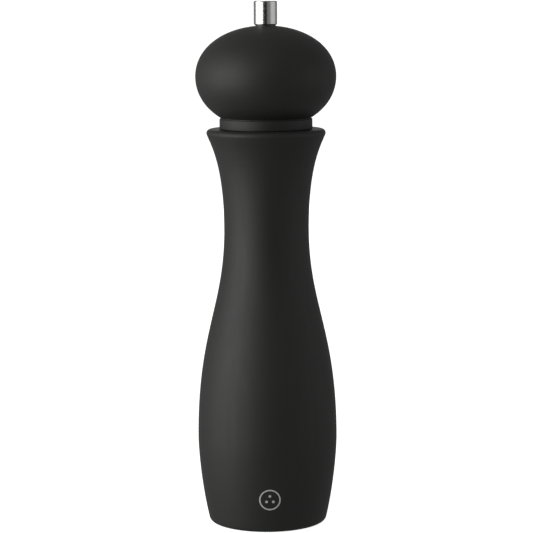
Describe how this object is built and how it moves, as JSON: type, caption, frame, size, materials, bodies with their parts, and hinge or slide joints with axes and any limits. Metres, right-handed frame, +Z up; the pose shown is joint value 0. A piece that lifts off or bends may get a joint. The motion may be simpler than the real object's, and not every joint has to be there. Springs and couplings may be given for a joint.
{
  "type": "pepper mill",
  "caption": "Tall turned pepper mill in black lacquered wood: waisted body, ball-shaped turning head and a small steel grind-setting knob.",
  "frame": {"origin": "centre of the foot ring, on the surface that the mill stands on", "axes": "+Z up along the turning axis to the knob; -Y is the front"},
  "size_m": [0.0642, 0.0642, 0.24],
  "materials": {
    "lacquered_wood": "matt black soft-touch lacquer over turned beech",
    "black_nylon": "moulded black nylon",
    "satin_steel": "satin stainless steel",
    "knob_steel": "turned and polished stainless steel",
    "shaft_aluminium": "drawn bar, plain",
    "printed_mark": "pale grey printed ink, no thickness worth a solid, so no solid has it",
    "white_ceramic": "unglazed technical ceramic"
  },
  "bodies": {
    "mill_body": {"body_shell": "lacquered_wood", "mouth_bush": "black_nylon", "grinder_housing": "black_nylon", "shaft_guide_bush": "black_nylon", "base_plate": "satin_steel", "base_screws": "satin_steel", "stator": "white_ceramic"},
    "turning_washer": {"keyed_washer": "satin_steel"},
    "shaft": {"drive_shaft": "shaft_aluminium", "rotor": "white_ceramic", "rotor_hub": "black_nylon", "rotor_washer": "satin_steel", "rotor_nut": "satin_steel", "spring_seat_washer": "satin_steel", "pressure_spring": "satin_steel"},
    "head": {"head": "lacquered_wood", "knob_seat_bush": "satin_steel", "driver_plate": "satin_steel", "driver_plate_screws": "satin_steel"},
    "knob_washer": {"knob_washer": "black_nylon"},
    "knob": {"adjusting_knob": "knob_steel"}
  },
  "joints": [
    {"name": "head_turn", "type": "hinge", "parent": "mill_body", "child": "turning_washer", "pos_m": [0, 0, 0.0276], "axis": [0, 0, 1], "continuous": true},
    {"name": "coarseness", "type": "slide", "parent": "turning_washer", "child": "shaft", "axis": [0, 0, 1], "range_m": [-0.0016, 0.0008], "deforming": ["pressure_spring"]},
    {"name": "head_lift", "type": "slide", "parent": "turning_washer", "child": "head", "axis": [0, 0, 1], "range_m": [0, 0.07]},
    {"name": "knob_lift", "type": "slide", "parent": "head", "child": "knob_washer", "axis": [0, 0, 1], "range_m": [0, 0.014]},
    {"name": "knob_turn", "type": "hinge", "parent": "knob_washer", "child": "knob", "pos_m": [0, 0, 0.2345], "axis": [0, 0, 1], "range_deg": [-360.5, 720.5]}
  ],
  "couplings": [
    {"joint": "knob_turn", "follows": "coarseness", "rad_per_m": -7854}
  ]
}
